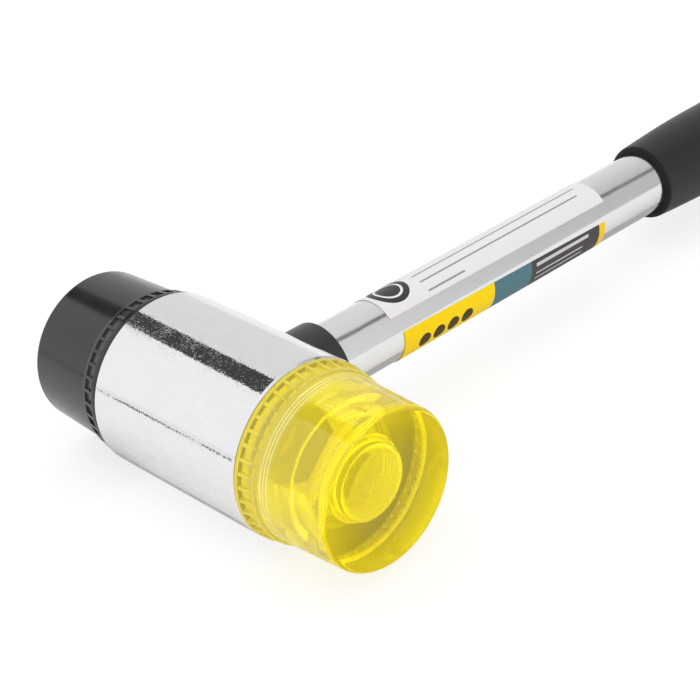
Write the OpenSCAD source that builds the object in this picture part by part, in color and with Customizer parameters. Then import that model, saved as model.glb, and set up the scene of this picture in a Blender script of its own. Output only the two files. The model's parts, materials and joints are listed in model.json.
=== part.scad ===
// Soft face hammer: a chromed steel barrel with two screw-in soft faces,
// a steel tube handle with a plastic collar, and a moulded grip.
// Modelled along its own axes: X is the head axis with the yellow face at +X,
// Y is the handle axis. The whole hammer then lies on its side on the floor.

/* [Head body] */
// Outer diameter of the steel barrel
body_d = 40; // [38:0.5:50]
// Length of the steel barrel
body_len = 45; // [43:0.5:60]
// Chamfer round each end of the barrel
body_chamfer = 0.5; // [0.2:0.1:1]
// Thickness of the solid web that the handle is held in
web_t = 20; // [18.5:0.5:22]

/* [Face thread] */
// Major diameter of the stud's thread
thread_d = 28; // [27:0.5:29]
// Pitch of the thread
thread_pitch = 3; // [2.6:0.1:3.4]
// Depth of the thread
thread_depth = 1.3; // [0.8:0.1:1.6]
// Width of the thread's flat crest
thread_crest = 0.7; // [0.5:0.1:0.9]
// Slope of the thread's flanks from square
thread_flank_deg = 20; // [10:1:24]
// Play between stud thread and socket thread, on every side
thread_play = 0.3; // [0.2:0.05:0.4]
// Gap between the stud's end and the socket's floor
stud_end_gap = 0.8; // [0.4:0.1:1.5]
// Chamfer round the stud's end
stud_chamfer = 0.5; // [0.2:0.1:0.8]

/* [Face washer] */
// Thickness of the rubber washer under each face
washer_t = 1.1; // [0.8:0.1:1.4]
// Outer diameter of the rubber washer
washer_d = 33.8; // [32:0.2:35]
// Gap between the washer and what it sits in or round
washer_gap = 0.3; // [0.2:0.05:0.4]

/* [Soft faces] */
// How far each face stands out of the barrel
face_len = 24.2; // [20:0.1:30]
// Rounding of the front edge
face_edge_r = 1; // [0.6:0.1:3]
// Gap between the face's flat back and the barrel's end
face_gap = 0.1; // [0.05:0.05:0.3]
// Bore of the stud, up to the step in the hollow
hollow_stud_d = 19.2; // [18:0.2:22]
// Bore of the hollow past the step
hollow_tip_d = 17.2; // [14:0.2:17.8]
// Solid thickness between the hollow and the striking face
strike_t = 8; // [6:0.5:13]
// Length of the narrow part of the hollow
hollow_tip_len = 6; // [3.5:0.5:7]
// Rounding of the hollow's bottom corner
hollow_fillet = 2.1; // [0.5:0.1:3]
// Chamfer of the step in the hollow
step_chamfer = 0.3; // [0.1:0.1:0.8]

/* [Yellow face] */
// Step in from the barrel's side to the yellow face's plain rim
yellow_rim_step = 0.1; // [0:0.05:0.6]
// Length of the yellow face's plain rim
yellow_rim_len = 1.4; // [0.8:0.1:2]
// Length of the pockets in the yellow face's toothed ring
yellow_pocket_len = 3.5; // [2.4:0.1:3.8]
// Step in from the yellow face's rim to where it leaves its toothed ring
yellow_base_step = 1.3; // [0.9:0.05:2]
// How far the yellow face tapers in from there to its front edge
yellow_taper = 0.7; // [0.2:0.05:1.5]
// Number of fine grooves round the yellow face
yellow_groove_count = 3; // [0:1:5]

/* [Black face] */
// Step in from the barrel's side to the black face's plain rim
black_rim_step = 0.35; // [0:0.05:0.6]
// Length of the black face's plain rim
black_rim_len = 1.2; // [0.8:0.1:2]
// Length of the pockets in the black face's toothed ring
black_pocket_len = 2.9; // [2.4:0.1:3.8]
// Step in from the black face's rim to where it leaves its toothed ring
black_base_step = 1.25; // [0.9:0.05:2]
// How far the black face tapers in from there to its front edge
black_taper = 0.75; // [0.2:0.05:1.5]
// Number of fine grooves round the black face
black_groove_count = 0; // [0:1:5]

/* [Toothed rings] */
// Chamfer of the rim where it meets the barrel
rim_chamfer = 0.4; // [0.1:0.1:0.6]
// Number of ribs round each ring
rib_count = 40; // [24:1:48]
// Width of one rib
rib_w = 0.75; // [0.5:0.05:1.1]
// Turn of the ribs about the head axis
rib_turn_deg = 4.6; // [0:0.1:9]
// Step down from the rim to the ribs
rib_drop = 0.1; // [0.05:0.05:0.3]
// Step down from the rim to the plain band that the ribs run into
band_drop = 0.6; // [0.4:0.05:0.7]
// Length of the plain band
band_len = 0.7; // [0.5:0.1:1.5]
// Length of the slope at the end of the band
band_slope = 0.3; // [0.1:0.1:0.4]
// Depth of the pockets between the ribs, below the band
pocket_depth = 0.5; // [0.3:0.05:0.6]

/* [Fine grooves] */
// Distance from one fine groove to the next
groove_pitch = 0.82; // [0.74:0.02:1.2]
// Width of one fine groove at the surface
groove_w = 0.5; // [0.3:0.05:0.7]
// Depth of one fine groove
groove_depth = 0.3; // [0.1:0.05:0.4]

/* [Handle tube] */
// Outer diameter of the steel tube
tube_d = 16; // [15:0.2:16.6]
// Wall of the steel tube
tube_wall = 1.2; // [0.8:0.1:2]
// How far the tube passes the head axis inside the web
tube_past_axis = 12; // [8:0.5:14]
// Fit of the tube in the head, collar and grip, on the radius
tube_fit = 0.03; // [0.01:0.01:0.08]
// Gap between each end of the tube and the bottom of its hole
tube_end_gap = 0.3; // [0.1:0.1:1]
// Distance from the head axis to the grip's front edge
grip_front_y = 137.9; // [125:0.1:160]

/* [Handle pin] */
// Diameter of the spring pin that holds the tube in the web
pin_d = 5; // [4:0.5:6]
// Bore of the rolled spring pin
pin_bore_d = 3; // [2:0.5:3.4]
// How deep the pin's ends lie below the web's sides
pin_inset = 0.5; // [0.3:0.1:1.5]
// Width of the pin's lengthwise slot
pin_slot_w = 0.6; // [0.4:0.1:1]

/* [Collar] */
// Diameter of the plastic collar
collar_d = 19.4; // [18.8:0.2:22]
// Distance from the head axis to the collar's far edge
collar_end_y = 26.3; // [24:0.1:34]
// Rounding of the collar's far edge
collar_edge_r = 0.4; // [0.3:0.1:0.9]
// Diameter of the thin lip that hugs the barrel
collar_lip_d = 21.8; // [21:0.2:26]
// Thickness of the thin lip
collar_lip_t = 0.6; // [0.4:0.1:1]
// Diameter of the collar's spigot inside the barrel's wall
spigot_d = 17.8; // [17:0.2:18.4]
// Length of the spigot inside the barrel's wall
spigot_len = 3.4; // [2:0.1:4]

/* [Grip] */
// Overall length of the grip
grip_len = 109; // [95:1:130]
// Diameter of the grip at its front edge
grip_front_d = 19.2; // [18.6:0.2:21]
// Diameter of the grip's slim part
grip_neck_d = 21.6; // [20:0.2:24]
// Length over which the front widens to the slim part
grip_flare_len = 30; // [20:1:40]
// Diameter of the swell near the butt
grip_swell_d = 27.6; // [25:0.2:30]
// Distance from the swell to the butt's end
swell_to_end = 19; // [16:1:26]
// Diameter of the butt where its end rounding starts
grip_butt_d = 25.6; // [22:0.2:27]
// Rounding of the butt's end
grip_butt_r = 5; // [2:0.5:7]
// Rounding of the grip's front edge
grip_front_r = 1.5; // [0.4:0.1:2]
// Solid end of the grip past the tube
grip_cap_t = 19; // [16:0.5:24]
// Diameter of the hanging hole
hang_hole_d = 6; // [4:0.5:7]
// Distance from the hanging hole to the butt's end
hang_hole_in = 10; // [8.5:0.5:12]

/* [Labels] */
// Thickness of each sticker
label_t = 0.15; // [0.1:0.05:0.3]
// Distance from the head axis to the start of the white sticker
white_start_y = 42.4; // [38:0.2:50]
// Length of the white sticker
white_len = 74; // [60:0.2:80]
// Angle round the tube that the white sticker covers
white_wrap_deg = 87.5; // [60:0.5:100]
// Angle of the white sticker's lower edge above the tube's near side
white_from_deg = 43.5; // [35:0.5:60]
// How far the white sticker is turned out of line with the tube
white_skew_deg = 0.2; // [0:0.05:1.5]
// Distance from the head axis to the start of the colour sticker
colour_start_y = 44.3; // [38:0.1:50]
// Length of the colour sticker
colour_len = 70; // [60:0.2:80]
// Angle round the tube that the colour sticker covers
colour_wrap_deg = 87; // [60:1:100]
// Angle of the colour sticker's upper edge above the tube's near side
colour_to_deg = 11; // [0:1:14]
// How far the colour sticker is turned out of line with the tube
colour_skew_deg = 0.55; // [0:0.05:1.5]

/* [Hidden] */

smooth = 96;
small_smooth = 48;
// How far a cutter reaches past what it cuts
cut_over = 1;
// How far one shape reaches into the one that it is joined to
root_overlap = 0.2;
// Angle between two sections of a thread, and over which its ends fade out
step_deg = 12;
stud_fade_deg = 40;
socket_fade_deg = 1;
// Least share of a thread's height, at its very ends
least_fade = 0.1;
// Room along the stud beyond each end of its thread
thread_lead = 0.6;
thread_tail = 0.4;
// How far the socket's thread runs past the stud's, in pitches
socket_lead = 0.5;
socket_tail = 0.6;
// Length and depth of the relief at the socket's floor, past the thread
relief_extra = 1;
relief_room = 0.1;
// Gap behind the collar's spigot
spigot_gap = 0.1;
arc_steps = 8;
curve_steps = 16;

body_r = body_d / 2;
body_half = body_len / 2;
tube_r = tube_d / 2;
web_half = web_t / 2;

stud_major_r = thread_d / 2;
stud_core_r = stud_major_r - thread_depth;
socket_major_r = stud_major_r + thread_play;
socket_bore_r = stud_core_r + thread_play;
recess_r = washer_d / 2 + washer_gap;
recess_depth = washer_t + washer_gap;
recess_x = body_half - recess_depth;
stud_end_x = web_half + stud_end_gap;
flange_x = body_half + face_gap;
crest_half = thread_crest / 2;
root_half = crest_half + thread_depth * tan(thread_flank_deg);
ridge_start_x = stud_end_x + root_half + thread_lead;
ridge_end_x = recess_x - root_half - thread_tail;
relief_len = stud_end_gap + relief_extra;

face_x = body_half + face_len;
edge_start_x = face_x - face_edge_r;
hollow_end_x = face_x - strike_t;
hollow_step_x = hollow_end_x - hollow_tip_len;

tube_end_y = grip_front_y + grip_len - grip_cap_t;
grip_end_y = grip_front_y + grip_len;
swell_y = grip_end_y - swell_to_end;
hang_y = grip_end_y - hang_hole_in;
spigot_y = body_r - spigot_len;

// The head and the grip's swell both touch the floor, so the handle tilts a little
reach = sqrt(pow(swell_y, 2) + pow(grip_swell_d / 2, 2));
tilt = asin(body_r / reach) - atan2(grip_swell_d / 2, swell_y);
butt_flat_r = grip_butt_d / 2 - grip_butt_r;
back_y = (grip_end_y - grip_butt_r) * cos(tilt) + butt_flat_r * sin(tilt) + grip_butt_r;
front_y = -body_r;
middle_y = (back_y + front_y) / 2;

// Puts the hammer on the floor with the middle of its footprint at the origin
module lying() {
    translate([0, -middle_y, body_r])
        rotate([-tilt, 0, 0])
            children();
}

// Turns a shape drawn along Z so that it runs along the head axis
module along_head() {
    rotate([0, 90, 0]) children();
}

// Turns a shape drawn along Z so that it runs along the handle
module along_handle() {
    rotate([-90, 0, 0]) children();
}

module head_rod(r, from_x, to_x, fn = smooth) {
    along_head() translate([0, 0, from_x]) cylinder(r = r, h = to_x - from_x, $fn = fn);
}

module handle_rod(r, from_y, to_y, fn = smooth) {
    along_handle() translate([0, 0, from_y]) cylinder(r = r, h = to_y - from_y, $fn = fn);
}

// Points of a quarter round with centre at [r, h], from angle a0 to a1
function quarter(r, h, rad, a0, a1) = [
    for (i = [0:arc_steps])
        let (a = a0 + (a1 - a0) * i / arc_steps)
        [r + rad * cos(a), h + rad * sin(a)]
];

// One turn by turn ridge of trapezoid section that climbs along X as it turns about X
function helix_ring(a, r_in, r_out, half_in, half_out) =
    let (x = thread_pitch * a / 360)
    [
        for (p = [[r_in, -half_in], [r_out, -half_out], [r_out, half_out], [r_in, half_in]])
            [x + p[1], p[0] * cos(a), p[0] * sin(a)]
    ];

// Crest radius, drawn in at both ends so that the thread runs out smoothly
function faded(a, a0, a1, r_low, r_full, fade) =
    let (k = min(1, (a - a0) / fade, (a1 - a) / fade))
    r_low + (r_full - r_low) * max(k, least_fade);

// Half width of the thread's section at radius r, for a crest at crest_r
function flank_half(r, crest_r, play) =
    crest_half + play + (crest_r - r) * tan(thread_flank_deg);

module helix(x0, x1, r_in, r_out, play, fade) {
    a0 = 360 * x0 / thread_pitch;
    a1 = 360 * x1 / thread_pitch;
    n = ceil((a1 - a0) / step_deg);
    rings = [
        for (i = [0:n])
            let (a = a0 + (a1 - a0) * i / n)
            let (tip = faded(a, a0, a1, r_in, r_out, fade))
            helix_ring(a, r_in, tip, flank_half(r_in, r_out, play), flank_half(tip, r_out, play))
    ];
    points = [for (ring = rings) for (p = ring) p];
    sides = [
        for (i = [0:n - 1])
            for (j = [0:3])
                let (a = 4 * i + j)
                let (b = 4 * i + (j + 1) % 4)
                each [[a, b, b + 4], [a, b + 4, a + 4]]
    ];
    ends = [[3, 2, 1, 0], [for (j = [0:3]) 4 * n + j]];
    polyhedron(points = points, faces = concat(sides, ends), convexity = 10);
}

// Everything that is cut from the barrel's +X end to take one face
module face_socket() {
    head_rod(socket_bore_r, web_half, body_half + cut_over);
    head_rod(socket_major_r + relief_room, web_half, web_half + relief_len);
    head_rod(recess_r, recess_x, body_half + cut_over);
    helix(
        ridge_start_x - socket_lead * thread_pitch,
        recess_x + socket_tail * thread_pitch,
        socket_bore_r - root_overlap,
        socket_major_r,
        thread_play,
        socket_fade_deg
    );
}

module barrel_shape() {
    along_head()
        rotate_extrude($fn = smooth)
            polygon([
                [0, -body_half],
                [body_r - body_chamfer, -body_half],
                [body_r, -body_half + body_chamfer],
                [body_r, body_half - body_chamfer],
                [body_r - body_chamfer, body_half],
                [0, body_half]
            ]);
}

module head_body() {
    color("gainsboro") lying() difference() {
        barrel_shape();
        for (turn = [0, 180])
            rotate([0, 0, turn]) face_socket();
        handle_rod(tube_r + tube_fit, -tube_past_axis - tube_end_gap, body_d);
        handle_rod(spigot_d / 2 + tube_fit, spigot_y - spigot_gap, body_d);
        head_rod(pin_d / 2 + tube_fit, -web_half - cut_over, web_half + cut_over, small_smooth);
    }
}

// Where the pockets and the whole toothed ring end, for a rim and pockets of these lengths
function pocket_end_x(rim_len, pocket_len) = flange_x + rim_len + pocket_len;
function ring_end_x(rim_len, pocket_len) = pocket_end_x(rim_len, pocket_len) + band_len;

// Side profile of a face: stud, rim, pocket floor, band, taper, rounded front, hollow
module face_profile(rim_r, rim_len, pocket_len, base_r, front_r) {
    rim_x = flange_x + rim_len;
    pocket_x = pocket_end_x(rim_len, pocket_len);
    ring_x = ring_end_x(rim_len, pocket_len);
    band_r = rim_r - band_drop;
    pocket_r = band_r - pocket_depth;
    stud_bore_r = hollow_stud_d / 2;
    tip_r = hollow_tip_d / 2;
    polygon(concat(
        [
            [stud_bore_r, stud_end_x],
            [stud_core_r - stud_chamfer, stud_end_x],
            [stud_core_r, stud_end_x + stud_chamfer],
            [stud_core_r, flange_x],
            [rim_r - rim_chamfer, flange_x],
            [rim_r, flange_x + rim_chamfer],
            [rim_r, rim_x],
            [pocket_r, rim_x],
            [pocket_r, pocket_x],
            [band_r, pocket_x],
            [band_r, ring_x - band_slope],
            [base_r, ring_x]
        ],
        quarter(front_r - face_edge_r, edge_start_x, face_edge_r, 0, 90),
        [[0, face_x], [0, hollow_end_x]],
        quarter(tip_r - hollow_fillet, hollow_end_x - hollow_fillet, hollow_fillet, 90, 0),
        [
            [tip_r, hollow_step_x],
            [stud_bore_r - step_chamfer, hollow_step_x],
            [stud_bore_r, hollow_step_x - step_chamfer]
        ]
    ));
}

// The ribs between the pockets, whose tops slope down from the rim to the band
module ribs(rim_r, rim_len, pocket_len) {
    rim_x = flange_x + rim_len;
    pocket_x = pocket_end_x(rim_len, pocket_len);
    band_r = rim_r - band_drop;
    low_r = band_r - pocket_depth - root_overlap;
    from_x = rim_x - root_overlap;
    to_x = pocket_x + root_overlap;
    intersection() {
        along_head()
            rotate_extrude($fn = smooth)
                polygon([
                    [low_r, from_x],
                    [rim_r - rib_drop, from_x],
                    [rim_r - rib_drop, rim_x],
                    [band_r, pocket_x],
                    [band_r, to_x],
                    [low_r, to_x]
                ]);
        for (i = [0:rib_count - 1])
            rotate([rib_turn_deg + 360 * i / rib_count, 0, 0])
                translate([from_x, low_r / 2, -rib_w / 2])
                    cube([to_x - from_x, rim_r, rib_w]);
    }
}

// A shallow V groove round a face of radius r
module fine_groove(x, r) {
    along_head() translate([0, 0, x])
        rotate_extrude($fn = smooth)
            polygon([
                [r - groove_depth, 0],
                [r + groove_depth, -groove_w],
                [r + groove_depth, groove_w]
            ]);
}

module soft_face(rim_step, rim_len, pocket_len, base_step, taper, groove_count) {
    rim_r = body_r - rim_step;
    base_r = rim_r - base_step;
    ring_x = ring_end_x(rim_len, pocket_len);
    slope = -taper / (edge_start_x - ring_x);
    difference() {
        union() {
            along_head()
                rotate_extrude($fn = smooth)
                    face_profile(rim_r, rim_len, pocket_len, base_r, base_r - taper);
            ribs(rim_r, rim_len, pocket_len);
            helix(
                ridge_start_x,
                ridge_end_x,
                stud_core_r - root_overlap,
                stud_major_r,
                0,
                stud_fade_deg
            );
        }
        for (i = [0:1:groove_count - 1])
            let (in = (i + 1) * groove_pitch)
                fine_groove(ring_x + in, base_r + slope * in);
    }
}

module yellow_face() {
    color("gold", 0.8) lying()
        soft_face(
            yellow_rim_step,
            yellow_rim_len,
            yellow_pocket_len,
            yellow_base_step,
            yellow_taper,
            yellow_groove_count
        );
}

module black_face() {
    color("dimgray") lying() rotate([0, 0, 180])
        soft_face(
            black_rim_step,
            black_rim_len,
            black_pocket_len,
            black_base_step,
            black_taper,
            black_groove_count
        );
}

module face_washer() {
    difference() {
        head_rod(washer_d / 2, recess_x, recess_x + washer_t);
        head_rod(stud_core_r + washer_gap, recess_x - cut_over, body_half);
    }
}

module yellow_face_washer() {
    color("wheat") lying() face_washer();
}

module black_face_washer() {
    color("wheat") lying() rotate([0, 0, 180]) face_washer();
}

module handle_tube() {
    color("silver") lying() difference() {
        handle_rod(tube_r, -tube_past_axis, tube_end_y);
        handle_rod(tube_r - tube_wall, -tube_past_axis - cut_over, tube_end_y + cut_over);
        head_rod(pin_d / 2 + tube_fit, -tube_d, tube_d, small_smooth);
    }
}

module handle_pin() {
    pin_half = web_half - pin_inset;
    color("slategray") lying() difference() {
        head_rod(pin_d / 2, -pin_half, pin_half, small_smooth);
        head_rod(pin_bore_d / 2, -web_t, web_t, small_smooth);
        translate([-web_t, 0, -pin_slot_w / 2]) cube([2 * web_t, pin_d, pin_slot_w]);
    }
}

// The barrel's outside as a cutter, with a hair of room
module barrel_cutter(room) {
    head_rod(body_r + room, -body_half, body_half);
}

module handle_collar() {
    lip_r = body_r + collar_lip_t;
    color("dimgray") lying() difference() {
        union() {
            difference() {
                along_handle()
                    rotate_extrude($fn = smooth)
                        polygon(concat(
                            [[0, 0], [collar_d / 2, 0]],
                            quarter(
                                collar_d / 2 - collar_edge_r,
                                collar_end_y - collar_edge_r,
                                collar_edge_r,
                                0,
                                90
                            ),
                            [[0, collar_end_y]]
                        ));
                barrel_cutter(tube_fit);
            }
            difference() {
                intersection() {
                    handle_rod(collar_lip_d / 2, 0, collar_end_y);
                    head_rod(lip_r, -body_half, body_half);
                }
                barrel_cutter(tube_fit);
            }
            handle_rod(spigot_d / 2, spigot_y, body_r + collar_lip_t);
        }
        handle_rod(tube_r + tube_fit, -cut_over, collar_end_y + cut_over);
    }
}

// Outer radius of the grip at distance s behind its front edge
function grip_r(s) =
    let (swell_s = grip_len - swell_to_end)
    let (neck = grip_neck_d / 2)
    let (rise_len = swell_s - grip_flare_len)
    s < grip_flare_len
        ? grip_front_d / 2 + (neck - grip_front_d / 2) * sin(90 * s / grip_flare_len)
        : s < swell_s
            ? neck + (grip_swell_d / 2 - neck) * (1 - cos(180 * (s - grip_flare_len) / rise_len)) / 2
            : grip_swell_d / 2 - (grip_swell_d - grip_butt_d) / 2
                * (1 - cos(90 * (s - swell_s) / (grip_len - grip_butt_r - swell_s)));

module grip_profile() {
    bore_r = tube_r + tube_fit;
    bore_end = grip_len - grip_cap_t + tube_end_gap;
    swell_s = grip_len - swell_to_end;
    butt_s = grip_len - grip_butt_r;
    // The front edge's rounding stays within the wall
    edge_r = min(grip_front_r, grip_front_d / 2 - bore_r);
    flare = [
        for (i = [1:curve_steps])
            edge_r + (grip_flare_len - edge_r) * i / curve_steps
    ];
    rise = [
        for (i = [1:curve_steps])
            grip_flare_len + (swell_s - grip_flare_len) * i / curve_steps
    ];
    fall = [
        for (i = [1:arc_steps - 1])
            swell_s + (butt_s - swell_s) * i / arc_steps
    ];
    polygon(concat(
        [[bore_r, 0]],
        quarter(grip_r(edge_r) - edge_r, edge_r, edge_r, -90, 0),
        [for (s = concat(flare, rise, fall)) [grip_r(s), s]],
        quarter(butt_flat_r, butt_s, grip_butt_r, 0, 90),
        [[0, grip_len], [0, bore_end], [bore_r, bore_end]]
    ));
}

module hand_grip() {
    color("darkslategray") lying() difference() {
        along_handle()
            translate([0, 0, grip_front_y])
                rotate_extrude($fn = smooth)
                    grip_profile();
        translate([0, hang_y, 0])
            head_rod(hang_hole_d / 2, -grip_swell_d, grip_swell_d, small_smooth);
    }
}

// A sticker that hugs the tube; angles run up from the +X side over the top. A block
// that is turned to face the sticker's middle trims a shell of the tube to its outline.
module sticker(start_y, len, from_deg, wrap, skew) {
    bore_r = tube_r + tube_fit;
    outer_r = bore_r + label_t;
    half_w = outer_r * sin(wrap / 2);
    rotate([0, -from_deg - wrap / 2, 0])
        intersection() {
            difference() {
                handle_rod(outer_r, start_y - outer_r, start_y + len + outer_r);
                handle_rod(bore_r, start_y - tube_d, start_y + len + tube_d);
            }
            translate([0, start_y + len / 2, 0])
                rotate([-skew, 0, 0])
                    translate([0, -len / 2, -half_w])
                        cube([tube_d, len, 2 * half_w]);
        }
}

module white_label() {
    color("whitesmoke") lying()
        sticker(white_start_y, white_len, white_from_deg, white_wrap_deg, white_skew_deg);
}

module colour_label() {
    from_deg = colour_to_deg - colour_wrap_deg;
    color("goldenrod") lying()
        sticker(colour_start_y, colour_len, from_deg, colour_wrap_deg, colour_skew_deg);
}

head_body();
yellow_face();
black_face();
yellow_face_washer();
black_face_washer();
handle_tube();
handle_pin();
handle_collar();
hand_grip();
white_label();
colour_label();
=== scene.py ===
"""Looks of the soft face hammer: the finish of its pieces, the labels' prints, the studio and the camera.

Places on the head are measured from the middle of its barrel, in millimetres: x towards the yellow face,
y along the handle, z up. Places on the handle are a distance s from the head's axis and an angle in degrees
round the tube, which runs from the yellow side over the top.
"""

import json
import math

import bpy
from mathutils import Matrix, Vector


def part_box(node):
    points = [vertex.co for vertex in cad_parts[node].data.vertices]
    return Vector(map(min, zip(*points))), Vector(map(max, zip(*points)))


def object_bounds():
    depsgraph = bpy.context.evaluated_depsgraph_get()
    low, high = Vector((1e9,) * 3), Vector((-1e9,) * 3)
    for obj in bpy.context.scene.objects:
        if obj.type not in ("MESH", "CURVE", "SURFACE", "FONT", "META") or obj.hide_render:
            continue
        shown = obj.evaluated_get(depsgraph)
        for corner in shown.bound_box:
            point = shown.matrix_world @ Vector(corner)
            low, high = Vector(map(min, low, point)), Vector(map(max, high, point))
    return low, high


MM = 0.001

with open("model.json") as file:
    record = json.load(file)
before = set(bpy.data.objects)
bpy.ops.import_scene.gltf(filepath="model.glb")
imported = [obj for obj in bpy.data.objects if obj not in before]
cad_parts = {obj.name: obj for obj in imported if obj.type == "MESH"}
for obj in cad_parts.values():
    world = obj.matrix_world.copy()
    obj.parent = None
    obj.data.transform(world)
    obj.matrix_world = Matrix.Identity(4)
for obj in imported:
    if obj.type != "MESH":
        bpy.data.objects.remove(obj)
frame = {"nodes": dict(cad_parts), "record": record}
CAD_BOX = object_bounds()


def middle(node):
    """The middle of a CAD piece's box at rest."""
    low, high = (Vector(corner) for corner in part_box(node))
    return (low + high) / 2


def mount_place(name):
    """Where one of the record's mounts is."""
    return next(Vector(m["pos_m"]) for m in frame["record"]["mounts"] if m["name"] == name)


HEAD = middle("head_body")
BARREL_HALF = (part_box("head_body")[1][0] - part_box("head_body")[0][0]) / 2 / MM
TUBE_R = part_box("handle_tube")[1][0] / MM
# A socket's bare inside reaches a little further out than its washer
SOCKET_MARGIN = 0.4
SOCKET_R = (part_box("yellow_face_washer")[1][1] - HEAD.y) / MM + SOCKET_MARGIN
# The handle's hanging hole shows how far the handle runs down towards the floor
BUTT = mount_place("hanging_hole") - HEAD
TILT = math.atan2(-BUTT.z, BUTT.y)


# Small helpers for shader nodes

def put(tree, kind, inputs=None, **settings):
    """Adds a node, makes its settings, and fills its inputs with values or with other nodes' sockets."""
    node = tree.nodes.new(kind)
    for key, value in settings.items():
        setattr(node, key, value)
    for key, value in (inputs or {}).items():
        if isinstance(value, bpy.types.NodeSocket):
            tree.links.new(value, node.inputs[key])
        else:
            node.inputs[key].default_value = value
    return node


def maths(tree, operation, *values, clamp=False):
    inputs = dict(enumerate(values))
    return put(tree, "ShaderNodeMath", inputs, operation=operation, use_clamp=clamp).outputs[0]


def vector_maths(tree, operation, *values, **named):
    inputs = dict(enumerate(values))
    inputs.update(named)
    return put(tree, "ShaderNodeVectorMath", inputs, operation=operation).outputs[0]


def colour(red, green, blue):
    """An opaque colour from its levels in the photograph's scale of 0 to 255."""
    def linear(level):
        share = level / 255
        return share / 12.92 if share <= 0.04045 else ((share + 0.055) / 1.055) ** 2.4
    return (linear(red), linear(green), linear(blue), 1.0)


def grey(level):
    return colour(level, level, level)


def mixed(tree, factor, first, second):
    """The first colour where the factor is 0, the second where it is 1."""
    inputs = {0: factor, 6: first, 7: second}
    return put(tree, "ShaderNodeMix", inputs, data_type="RGBA").outputs[2]


def ranged(tree, value, span, ends=(0.0, 1.0)):
    """Runs from the first end to the second while the value crosses the span, and is level outside it."""
    inputs = {0: value, 1: span[0], 2: span[1], 3: ends[0], 4: ends[1]}
    return put(tree, "ShaderNodeMapRange", inputs).outputs[0]


def banded(tree, value, stops):
    """A colour that follows a value: each stop is a value and its colour, in rising order."""
    low, high = stops[0][0], stops[-1][0]
    node = put(tree, "ShaderNodeValToRGB", {0: ranged(tree, value, (low, high))})
    elements = node.color_ramp.elements
    for at, _ in stops[1:-1]:
        elements.new((at - low) / (high - low))
    for element, (_, tint) in zip(elements, stops):
        element.color = (*tint, 1.0)
    return node.outputs[0]


def noise(tree, place, scale, detail=2.0, roughness=0.5):
    """Cloudy noise around 0.5. The scale is in cells per millimetre."""
    inputs = {"Vector": place, "Scale": scale, "Detail": detail, "Roughness": roughness}
    return put(tree, "ShaderNodeTexNoise", inputs).outputs[0]


def bump(tree, height, depth, normal=None):
    """Surface relief: the height runs from 0 to 1 and stands for the depth in millimetres."""
    inputs = {"Strength": 1.0, "Distance": depth * MM, "Height": height}
    if normal is not None:
        inputs["Normal"] = normal
    return put(tree, "ShaderNodeBump", inputs).outputs[0]


def soft_edge(tree):
    """A surface direction that rounds the edges of a moulding a little."""
    return put(tree, "ShaderNodeBevel", {"Radius": 0.15 * MM}, samples=4).outputs[0]


def pitted(tree, place, scale, amount):
    """A surface direction that wavers a little from speck to speck."""
    inputs = {"Vector": place, "Scale": scale, "Detail": 1.0}
    specks = put(tree, "ShaderNodeTexNoise", inputs).outputs[1]
    waver = vector_maths(tree, "SUBTRACT", specks, (0.5, 0.5, 0.5))
    waver = vector_maths(tree, "SCALE", waver, Scale=amount)
    straight = put(tree, "ShaderNodeNewGeometry").outputs["Normal"]
    return vector_maths(tree, "NORMALIZE", vector_maths(tree, "ADD", straight, waver))


def within(tree, value, low, high):
    """1 where the value lies between low and high, otherwise 0."""
    above = maths(tree, "GREATER_THAN", value, low)
    below = maths(tree, "LESS_THAN", value, high)
    return maths(tree, "MULTIPLY", above, below)


def either(tree, *masks):
    """1 where any of the masks is 1."""
    total = masks[0]
    for mask in masks[1:]:
        total = maths(tree, "MAXIMUM", total, mask)
    return total


def head_place(tree):
    """Where a point is from the barrel's middle, in millimetres."""
    place = put(tree, "ShaderNodeTexCoord").outputs["Object"]
    from_head = vector_maths(tree, "SUBTRACT", place, HEAD)
    return vector_maths(tree, "SCALE", from_head, Scale=1 / MM)


def split(tree, vector):
    return put(tree, "ShaderNodeSeparateXYZ", {0: vector}).outputs


def head_radius(tree, place):
    """Distance of a point from the head's axis."""
    across = vector_maths(tree, "MULTIPLY", place, (0.0, 1.0, 1.0))
    return put(tree, "ShaderNodeVectorMath", {0: across}, operation="LENGTH").outputs["Value"]


def handle_place(tree):
    """Distance along the handle, and the angle round it in degrees from the yellow side over the top."""
    turned = put(
        tree, "ShaderNodeVectorRotate", {"Vector": head_place(tree), "Angle": TILT}, rotation_type="X_AXIS"
    ).outputs[0]
    x, along, up = split(tree, turned)
    angle = maths(tree, "DEGREES", maths(tree, "ARCTAN2", up, x))
    return along, angle


def new_material(name):
    material = bpy.data.materials.new(name)
    material.use_nodes = True
    tree = material.node_tree
    tree.nodes.clear()
    return material, tree


def surface(tree, volume=None, **inputs):
    """A principled surface: an input's name is written with underscores."""
    shader = put(tree, "ShaderNodeBsdfPrincipled", {key.replace("_", " "): v for key, v in inputs.items()})
    ends = {"Surface": shader.outputs[0]}
    if volume is not None:
        ends["Volume"] = volume
    put(tree, "ShaderNodeOutputMaterial", ends)


# Materials

# Most noise lies in this span round its middle
CLOUD_SPAN = (0.3, 0.7)


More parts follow.
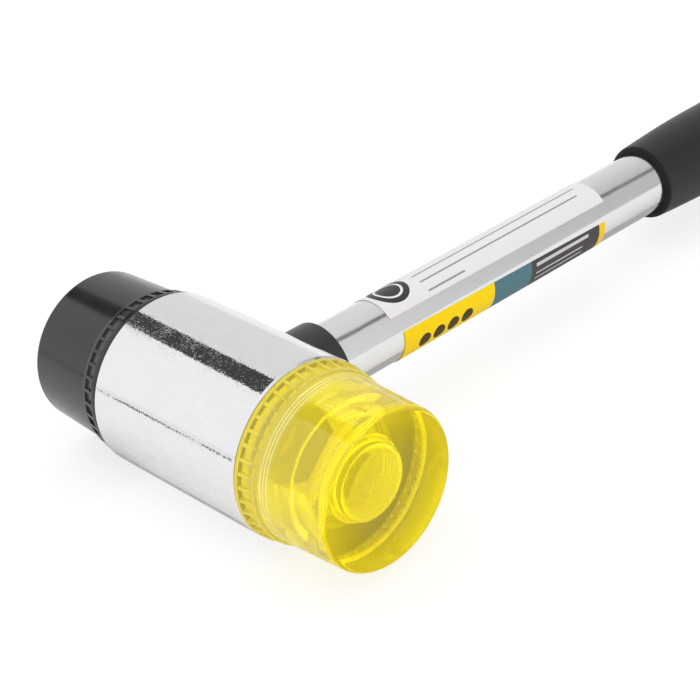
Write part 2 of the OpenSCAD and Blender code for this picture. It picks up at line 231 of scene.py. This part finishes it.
def barrel_chrome():
    """Bright plating with fine matt specks. The barrel's end faces are painted grey, as painted shade in the
    gaps where the faces meet them, and its sockets are dull.
    """
    material, tree = new_material("barrel_chrome")
    place = head_place(tree)
    cloud = noise(tree, place, scale=0.12, detail=2)
    # The specks are drawn out along the barrel and crowd together in places
    drawn = vector_maths(tree, "MULTIPLY", place, (0.5, 1.0, 1.0))
    crowd = maths(tree, "MULTIPLY", noise(tree, drawn, scale=0.3, detail=1), 0.35)
    specks = maths(tree, "ADD", noise(tree, drawn, scale=3.2, detail=4, roughness=0.7), crowd)
    specks = ranged(tree, specks, span=(0.7, 0.79))
    x = split(tree, place)[0]
    inside = maths(tree, "LESS_THAN", head_radius(tree, place), SOCKET_R)
    end = maths(tree, "GREATER_THAN", maths(tree, "ABSOLUTE", x), BARREL_HALF - 0.05)
    bright = ranged(tree, cloud, CLOUD_SPAN, ends=(0.04, 0.07))
    roughness = maths(tree, "ADD", bright, maths(tree, "MULTIPLY", specks, 0.28))
    roughness = maths(tree, "MAXIMUM", roughness, maths(tree, "MULTIPLY", inside, 0.5))
    metallic = maths(tree, "SUBTRACT", 1.0, maths(tree, "MULTIPLY", inside, 0.85))
    tint = mixed(tree, specks, mixed(tree, cloud, grey(233), grey(238)), grey(242))
    # The barrel's end faces outside the sockets are painted grey, as painted shade in the gaps where the
    # faces meet them
    tint = mixed(tree, maths(tree, "SUBTRACT", end, inside, clamp=True), tint, grey(150))
    relief = pitted(tree, place, scale=2.5, amount=0.05)
    surface(tree, Base_Color=tint, Metallic=metallic, Roughness=roughness, Normal=relief)
    return material


def tube_chrome():
    """Smooth bright plating, faintly clouded along the tube."""
    material, tree = new_material("tube_chrome")
    place = head_place(tree)
    drawn = vector_maths(tree, "MULTIPLY", place, (1.0, 0.15, 1.0))
    cloud = noise(tree, drawn, scale=0.5, detail=3)
    tint = mixed(tree, cloud, grey(232), grey(239))
    roughness = ranged(tree, cloud, CLOUD_SPAN, ends=(0.11, 0.17))
    relief = pitted(tree, drawn, scale=1.5, amount=0.03)
    surface(tree, Base_Color=tint, Metallic=1.0, Roughness=roughness, Normal=relief)
    return material


# The clear face along the head: the toothed ring, the end of it where the polished part starts, the front
TEETH_START_X = 24.0
RING_END_X = 28.3
FRONT_START_X = 45.2
FRONT_END_X = 46.2
GROOVE_COUNT = 3
GROOVE_PITCH = 0.82
# The flank of a groove that faces the front lies between these distances before the groove's middle
FLANK = (0.25, 0.03)
# Everything of the face that lies further out than this is its outer skin
OUTER_SKIN_R = 16.5
# The mark of the gate at the bottom of the hollow
GATE_R = 1.8
GATE_SPAN = (36.0, 41.0)

# Painted light: a faint glow in place of the light that the real plastic's haze scatters back. It is palest
# on the grooved band
# next to the ring, and deepest round the edge of the front. Along the outer skin, from barrel to front:
SIDE_PAINTED_GLOW = [
    (BARREL_HALF, (0.02, 0.018, 0.005)),
    (TEETH_START_X, (0.12, 0.11, 0.04)),
    (27.9, (0.16, 0.15, 0.05)),
    (28.4, (0.24, 0.225, 0.09)),
    (31.1, (0.19, 0.175, 0.06)),
    (31.9, (0.15, 0.133, 0.02)),
    (38.0, (0.07, 0.066, 0.025)),
    (46.0, (0.05, 0.046, 0.01)),
]
# Painted highlight on the flanks of the fine grooves that face the front
FLANK_PAINTED_HIGHLIGHT = (0.44, 0.44, 0.28, 1.0)
# The painted glow by distance from the head's axis, on the front and in the hollow
FRONT_PAINTED_GLOW = [
    (8.0, (0.06, 0.055, 0.02)),
    (13.0, (0.14, 0.118, 0.0)),
    (16.0, (0.25, 0.2, 0.0)),
    (18.0, (0.25, 0.2, 0.0)),
]
INNER_PAINTED_GLOW = [(8.0, (0.065, 0.07, 0.05)), (8.4, (0.115, 0.108, 0.045))]
# The painted glow of the outer skin seen from inside the plastic: even, so that its bands don't show through
# the front
SKIN_PAINTED_GLOW_INSIDE = (0.1, 0.084, 0.012, 1.0)
# The surface's tint along the head: darker and duller on the ring, and darkest next to the barrel, as
# painted shade in the gap where the face meets it
BODY_TINT_AND_PAINTED_SHADE = [
    (BARREL_HALF, (0.62, 0.54, 0.08)),
    (TEETH_START_X, (0.78, 0.7, 0.08)),
    (27.6, (0.78, 0.7, 0.08)),
    (28.2, (0.91, 0.825, 0.02)),
]


def groove_flanks(tree, x):
    """1 on the flanks that face the front of the fine grooves in the clear face's band."""
    middles = [RING_END_X + GROOVE_PITCH * (i + 1) for i in range(GROOVE_COUNT)]
    return either(tree, *[within(tree, x, middle_x - FLANK[0], middle_x - FLANK[1]) for middle_x in middles])


def clear_painted_glow(tree, x, radius):
    """The clear face's painted glow, with painted highlights on the groove flanks, at a place on its skin or
    in its hollow.
    """
    outside = maths(tree, "GREATER_THAN", radius, OUTER_SKIN_R)
    painted_glow = mixed(tree, outside, banded(tree, radius, INNER_PAINTED_GLOW), banded(tree, x, SIDE_PAINTED_GLOW))
    on_front = ranged(tree, x, span=(FRONT_START_X, FRONT_END_X))
    painted_glow = mixed(tree, on_front, painted_glow, banded(tree, radius, FRONT_PAINTED_GLOW))
    flanks = maths(tree, "MULTIPLY", groove_flanks(tree, x), outside)
    painted_glow = mixed(tree, flanks, painted_glow, FLANK_PAINTED_HIGHLIGHT)
    seen_inside = put(tree, "ShaderNodeNewGeometry").outputs["Backfacing"]
    return mixed(tree, maths(tree, "MULTIPLY", seen_inside, outside), painted_glow, SKIN_PAINTED_GLOW_INSIDE)


def clear_yellow():
    """Clear tinted plastic: the tint is in its depth, so thick parts are deeper in colour."""
    material, tree = new_material("clear_yellow_plastic")
    place = head_place(tree)
    x = split(tree, place)[0]
    radius = head_radius(tree, place)
    # Fine scuffs run round the front, where the face strikes
    drawn = vector_maths(tree, "MULTIPLY", place, (0.4, 3.0, 0.6))
    scuffs = noise(tree, drawn, scale=1.0, detail=4, roughness=0.7)
    scuffs = ranged(tree, scuffs, span=(0.6, 0.68), ends=(0.0, 0.2))
    worn = maths(tree, "MULTIPLY", scuffs, ranged(tree, x, span=(44.5, 46.0)))
    satin = ranged(tree, x, span=(RING_END_X - 0.2, RING_END_X), ends=(0.36, 0.03))
    flow = noise(tree, place, scale=0.12, detail=1)
    fine = noise(tree, place, scale=1.4, detail=3)
    gate = maths(tree, "MULTIPLY", maths(tree, "LESS_THAN", radius, GATE_R), within(tree, x, *GATE_SPAN))
    relief = bump(tree, flow, 0.15, normal=soft_edge(tree))
    relief = bump(tree, fine, 0.004, normal=relief)
    relief = bump(tree, maths(tree, "MULTIPLY", gate, fine), 0.4, normal=relief)
    relief = bump(tree, worn, 0.02, normal=relief)
    depth = put(tree, "ShaderNodeVolumeAbsorption", {"Color": (0.995, 0.96, 0.1, 1.0), "Density": 60.0})
    # The emission is painted light: the face's glow and the highlights on its groove flanks
    surface(
        tree, volume=depth.outputs[0], Base_Color=banded(tree, x, BODY_TINT_AND_PAINTED_SHADE),
        Roughness=maths(tree, "ADD", satin, worn), IOR=1.49, Transmission_Weight=0.94,
        Specular_IOR_Level=0.25, Emission_Color=clear_painted_glow(tree, x, radius), Emission_Strength=1.0,
        Normal=relief,
    )
    return material


# Just above the floors of the pockets in the black face's ring; below it the pockets are painted paler, as
# painted light that lifts their shade
POCKET_PAINTED_LIGHT_R = 18.9


def black_rubber():
    """Hard black rubber with a satin moulded skin, and its toothed ring's pockets painted paler, as painted
    light that lifts their shade.
    """
    material, tree = new_material("black_face_plastic")
    place = head_place(tree)
    on_ring = within(tree, split(tree, place)[0], -RING_END_X, -BARREL_HALF)
    pocket = maths(tree, "MULTIPLY", maths(tree, "LESS_THAN", head_radius(tree, place), POCKET_PAINTED_LIGHT_R), on_ring)
    grain = noise(tree, place, scale=3.0, detail=4)
    cloud = noise(tree, place, scale=0.15, detail=3)
    relief = bump(tree, grain, 0.004, normal=soft_edge(tree))
    # The pockets are painted paler, as painted light that lifts their shade
    tint = mixed(tree, pocket, mixed(tree, cloud, grey(23), grey(29)), grey(72))
    roughness = ranged(tree, cloud, CLOUD_SPAN, ends=(0.16, 0.21))
    surface(tree, Base_Color=tint, Roughness=roughness, IOR=1.6, Normal=relief)
    return material


def washer_rubber():
    """Pale natural rubber with a fine grain."""
    material, tree = new_material("washer_rubber")
    grain = noise(tree, head_place(tree), scale=4.0, detail=3)
    tint = mixed(tree, grain, colour(166, 158, 132), colour(182, 174, 150))
    surface(tree, Base_Color=tint, Roughness=0.6, Normal=bump(tree, grain, 0.01))
    return material


def pin_steel():
    """Dark spring steel."""
    material, tree = new_material("pin_steel")
    grain = noise(tree, head_place(tree), scale=3.0, detail=3)
    tint = mixed(tree, grain, colour(120, 124, 130), colour(150, 154, 160))
    surface(tree, Base_Color=tint, Metallic=1.0, Roughness=0.35, Normal=bump(tree, grain, 0.006))
    return material


def collar_plastic():
    """Black moulded plastic, smooth but for a fine grain."""
    material, tree = new_material("collar_plastic")
    grain = noise(tree, head_place(tree), scale=3.0, detail=3)
    tint = mixed(tree, grain, grey(38), grey(44))
    surface(tree, Base_Color=tint, Roughness=0.34, Normal=bump(tree, grain, 0.004))
    return material


# Distance along the handle at which the grip's dark front lip ends
GRIP_LIP_S = 138.7


def grip_rubber():
    """Satin dipped rubber, clouded in gloss, with a darker and duller front lip."""
    material, tree = new_material("grip_rubber")
    place = head_place(tree)
    grain = noise(tree, place, scale=4.0, detail=4)
    cloud = noise(tree, place, scale=0.08, detail=3)
    lip = maths(tree, "LESS_THAN", handle_place(tree)[0], GRIP_LIP_S)
    tint = mixed(tree, lip, mixed(tree, cloud, grey(26), grey(32)), grey(9))
    satin = ranged(tree, cloud, CLOUD_SPAN, ends=(0.38, 0.46))
    roughness = maths(tree, "ADD", satin, maths(tree, "MULTIPLY", lip, 0.3))
    relief = bump(tree, grain, 0.008)
    surface(tree, Base_Color=tint, Roughness=roughness, Specular_IOR_Level=0.4, Normal=relief)
    return material


def arc(angle_deg):
    """Length round the tube's surface for an angle, in millimetres."""
    return TUBE_R * math.radians(angle_deg)


def disc_distance(tree, along, angle, s, at_deg):
    """Distance on the tube's surface from a point, in millimetres."""
    ds = maths(tree, "SUBTRACT", along, s)
    around = maths(tree, "MULTIPLY", maths(tree, "SUBTRACT", angle, at_deg), arc(1))
    squares = [maths(tree, "MULTIPLY", side, side) for side in (ds, around)]
    return maths(tree, "SQRT", maths(tree, "ADD", *squares))


def ruled_lines(tree, along, angle, lines):
    """Plain printed lines along the tube, each from one distance to another, at an angle and of a width."""
    marks = []
    for s_from, s_to, at_deg, width in lines:
        half = math.degrees(width / 2 / TUBE_R)
        across = within(tree, angle, at_deg - half, at_deg + half)
        marks.append(maths(tree, "MULTIPLY", within(tree, along, s_from, s_to), across))
    return either(tree, *marks)


# The white sticker's marks: the ring's middle, its inner and outer radius, the dot in it, and the lines
RING_AT = (48.5, 96)
RING_R = (3.5, 5.0)
RING_DOT_R = 2.9
WHITE_LINES = [(56, 68, 54, 0.5), (56, 111, 75, 0.5), (56, 113, 95, 0.5)]


def white_sticker():
    """White film with a plain dark ring and three fine ruled lines."""
    material, tree = new_material("white_sticker")
    along, angle = handle_place(tree)
    spot = disc_distance(tree, along, angle, *RING_AT)
    ring = within(tree, spot, *RING_R)
    dot = maths(tree, "LESS_THAN", spot, RING_DOT_R)
    lines = ruled_lines(tree, along, angle, WHITE_LINES)
    grain = noise(tree, head_place(tree), scale=1.5, detail=3)
    film = mixed(tree, grain, colour(228, 225, 226), colour(233, 230, 231))
    inked = mixed(tree, lines, film, grey(150))
    inked = mixed(tree, either(tree, ring, dot), inked, grey(42))
    surface(tree, Base_Color=inked, Roughness=0.4, Normal=bump(tree, grain, 0.01))
    return material


# The colour sticker's blocks after the first yellow one: where each starts along the handle, and its colour
BLOCKS = [(74.2, colour(84, 122, 134)), (87.3, colour(76, 71, 75)), (112.2, colour(246, 205, 40))]
DOT_COUNT = 4
DOT_R = 1.9
DOT_ANGLE = -21
FIRST_DOT_S = 51
DOT_PITCH = 4.7
COLOUR_LINES = [(89, 108, 1, 0.9), (89, 106, -15, 0.4), (89, 106, -27, 0.4)]


def colour_sticker():
    """Film in yellow, teal, dark grey and yellow blocks, with plain dots and ruled lines."""
    material, tree = new_material("colour_sticker")
    along, angle = handle_place(tree)
    grain = noise(tree, head_place(tree), scale=1.5, detail=3)
    film = mixed(tree, grain, colour(254, 214, 2), colour(255, 219, 4))
    for start, block in BLOCKS:
        film = mixed(tree, maths(tree, "GREATER_THAN", along, start), film, block)
    middles = [FIRST_DOT_S + DOT_PITCH * i for i in range(DOT_COUNT)]
    spots = [disc_distance(tree, along, angle, s, DOT_ANGLE) for s in middles]
    dots = either(tree, *[maths(tree, "LESS_THAN", spot, DOT_R) for spot in spots])
    film = mixed(tree, dots, film, colour(80, 58, 12))
    film = mixed(tree, ruled_lines(tree, along, angle, COLOUR_LINES), film, grey(205))
    surface(tree, Base_Color=film, Roughness=0.4, Specular_IOR_Level=0.12, Normal=bump(tree, grain, 0.01))
    return material


def finish_node(node, material):
    """Gives a CAD piece its looks."""
    for slot in frame["nodes"][node].material_slots:
        slot.material = material


def finish_pieces():
    rubber = washer_rubber()
    finishes = {
        "head_body": barrel_chrome(),
        "handle_tube": tube_chrome(),
        "yellow_face": clear_yellow(),
        "black_face": black_rubber(),
        "yellow_face_washer": rubber,
        "black_face_washer": rubber,
        "handle_pin": pin_steel(),
        "handle_collar": collar_plastic(),
        "hand_grip": grip_rubber(),
        "white_label": white_sticker(),
        "colour_label": colour_sticker(),
    }
    for node, material in finishes.items():
        finish_node(node, material)


# Studio

# The floor in metres: half its side, and how far it lies below the hammer
FLOOR_HALF = 4.0
FLOOR_GAP = 0.05 * MM
WORLD_LIGHT = 0.9
# What mirrors see of the sky: its level beyond the handle, and how far it falls there on the yellow side
BACK_SKY = 0.8
SIDE_SHADE = 0.3
# The height of a card that lies just above the floor
LOW_CARD_Z = -19.8
# Painted reflections: grey sheets that only mirrors see. The shade cards paint a darker floor near the
# hammer into what mirrors see
# Each card's corners and height from the barrel's middle, and its level from 0, black, to 1, white
CARDS = {
    "overhead_card": ([(-620, 22), (-80, -140), (-80, 25), (-620, 187)], 400, 0.06),
    "side_card": ([(18, 150), (88, 150), (290, 700), (220, 700)], 300, 0.2),
    "floor_card": ([(-400, -340), (-100, -340), (-100, -228), (-400, -228)], LOW_CARD_Z, 0.2),
    "handle_shade": ([(-3, 40), (12, 40), (12, 260), (-20, 260)], LOW_CARD_Z, 0.45),
    "head_shade": ([(-31, -15.5), (20, -15.5), (20, 5), (-31, 5)], LOW_CARD_Z, 0.45),
    "face_shade": ([(47, -40), (110, -40), (110, 60), (47, 60)], LOW_CARD_Z, 0.3),
    "grip_shade": ([(14, 172), (40, 172), (60, 340), (10, 340)], LOW_CARD_Z, 0.35),
}
# Each lamp's place from the head and its width, in metres, and its power in watts
LAMPS = {
    "key": ((-0.35, -0.2, 0.95), 0.9, 2.0),
    "fill": ((0.75, 0.0, 0.12), 0.7, 1.0),
}


def flat_card(name, corners, z):
    """A flat four-cornered sheet parallel to the floor, in metres."""
    mesh = bpy.data.meshes.new(name)
    mesh.from_pydata([(x, y, z) for x, y in corners], [], [(0, 1, 2, 3)])
    card = bpy.data.objects.new(name, mesh)
    bpy.context.scene.collection.objects.link(card)
    return card


def by_ray(tree, otherwise, camera, mirror, clear):
    """A number that depends on whether the camera, a mirror or a clear piece looks at the surface."""
    path = put(tree, "ShaderNodeLightPath").outputs
    number = otherwise
    levels = {"Is Glossy Ray": mirror, "Is Transmission Ray": clear, "Is Camera Ray": camera}
    for kind, level in levels.items():
        number = put(tree, "ShaderNodeMix", {0: path[kind], 2: number, 3: level}).outputs[0]
    return number


def floor_material():
    """White floor that keeps a soft shadow, and that camera, mirror and clear rays see as near white."""
    material, tree = new_material("studio_floor")
    strength = by_ray(tree, 0.0, camera=0.75, mirror=0.08, clear=0.35)
    share = by_ray(tree, 0.85, camera=0.29, mirror=0.85, clear=0.59)
    glow = put(tree, "ShaderNodeEmission", {"Color": grey(255), "Strength": strength})
    white = put(tree, "ShaderNodeCombineColor", {0: share, 1: share, 2: share})
    matt = put(tree, "ShaderNodeBsdfDiffuse", {"Color": white.outputs[0]})
    both = put(tree, "ShaderNodeAddShader", {0: glow.outputs[0], 1: matt.outputs[0]})
    put(tree, "ShaderNodeOutputMaterial", {"Surface": both.outputs[0]})
    material.cycles.emission_sampling = "NONE"
    return material


def card_material(level):
    """An even grey that takes no light."""
    material, tree = new_material("studio_card")
    shade = put(tree, "ShaderNodeEmission", {"Color": (level, level, level, 1.0), "Strength": 1.0})
    put(tree, "ShaderNodeOutputMaterial", {"Surface": shade.outputs[0]})
    material.cycles.emission_sampling = "NONE"
    return material


def reflected_card(name, corners, z, level):
    """A dark card that only mirror-like surfaces see, as a painted reflection, placed in millimetres from
    the barrel's middle.
    """
    card = flat_card(name, [(HEAD.x + x * MM, HEAD.y + y * MM) for x, y in corners], HEAD.z + z * MM)
    card.data.materials.append(card_material(level))
    card.visible_camera = False
    card.visible_diffuse = False
    card.visible_shadow = False
    card.visible_transmission = False


def build_world():
    """White all round for the camera. Mirrors see it a little darker beyond the handle."""
    world = bpy.data.worlds.new("studio")
    bpy.context.scene.world = world
    world.use_nodes = True
    tree = world.node_tree
    tree.nodes.clear()
    x, y, _ = split(tree, put(tree, "ShaderNodeTexCoord").outputs["Generated"])
    sky = ranged(tree, y, span=(-0.1, 0.35), ends=(1.0, BACK_SKY))
    far = ranged(tree, y, span=(0.56, 0.7))
    side_shade = maths(tree, "MULTIPLY", far, ranged(tree, x, span=(-0.65, 0.3), ends=(0.0, SIDE_SHADE)))
    sky = maths(tree, "MULTIPLY", sky, maths(tree, "SUBTRACT", 1.0, side_shade))
    strength = by_ray(tree, WORLD_LIGHT, camera=1.0, mirror=sky, clear=1.0)
    back = put(tree, "ShaderNodeBackground", {"Color": grey(255), "Strength": strength})
    put(tree, "ShaderNodeOutputWorld", {"Surface": back.outputs[0]})
    world.cycles.sampling_method = "NONE"


def soft_lamp(name, offset, size, power):
    """A round lamp that points at the head. Mirrors and clear pieces don't show it."""
    light = bpy.data.lights.new(name, "AREA")
    light.shape = "DISK"
    light.size = size
    light.energy = power
    lamp = bpy.data.objects.new(name, light)
    bpy.context.scene.collection.objects.link(lamp)
    lamp.location = HEAD + Vector(offset)
    lamp.rotation_euler = (HEAD - lamp.location).to_track_quat("-Z", "Y").to_euler()
    lamp.visible_glossy = False
    lamp.visible_transmission = False


def build_studio():
    build_world()
    f = FLOOR_HALF
    floor = flat_card("floor", [(-f, -f), (f, -f), (f, f), (-f, f)], CAD_BOX[0][2] - FLOOR_GAP)
    floor.data.materials.append(floor_material())
    for name, (corners, z, level) in CARDS.items():
        reflected_card(name, corners, z, level)
    for name, (offset, size, power) in LAMPS.items():
        soft_lamp(name, offset, size, power)


# Camera: the photograph's, found from the barrel's end circles and the handle

CAMERA_TURN = math.radians(49.0)
CAMERA_RISE = math.radians(31.286)
CAMERA_ROLL = math.radians(-6.6525)
# The point the camera looks at, from the barrel's middle, and how far off the camera stands
CAMERA_AIM = (2.245, 32.843, 0.0)
CAMERA_REACH = 431.31
CAMERA_LENS = 100.0


def build_camera():
    back = Vector((
        math.sin(CAMERA_TURN) * math.cos(CAMERA_RISE),
        -math.cos(CAMERA_TURN) * math.cos(CAMERA_RISE),
        math.sin(CAMERA_RISE),
    ))
    right = Vector((math.cos(CAMERA_TURN), math.sin(CAMERA_TURN), 0))
    up = back.cross(right)
    rolled_right = right * math.cos(CAMERA_ROLL) + up * math.sin(CAMERA_ROLL)
    rolled_up = up * math.cos(CAMERA_ROLL) - right * math.sin(CAMERA_ROLL)
    data = bpy.data.cameras.new("camera")
    data.lens = CAMERA_LENS
    data.clip_start = 0.01
    camera = bpy.data.objects.new("camera", data)
    place = HEAD + (Vector(CAMERA_AIM) + back * CAMERA_REACH) * MM
    turn = Matrix((rolled_right, rolled_up, back)).transposed().to_4x4()
    camera.matrix_world = Matrix.Translation(place) @ turn
    bpy.context.scene.collection.objects.link(camera)
    bpy.context.scene.camera = camera


build_camera()
finish_pieces()
build_studio()
bpy.context.scene.view_settings.view_transform = "Standard"
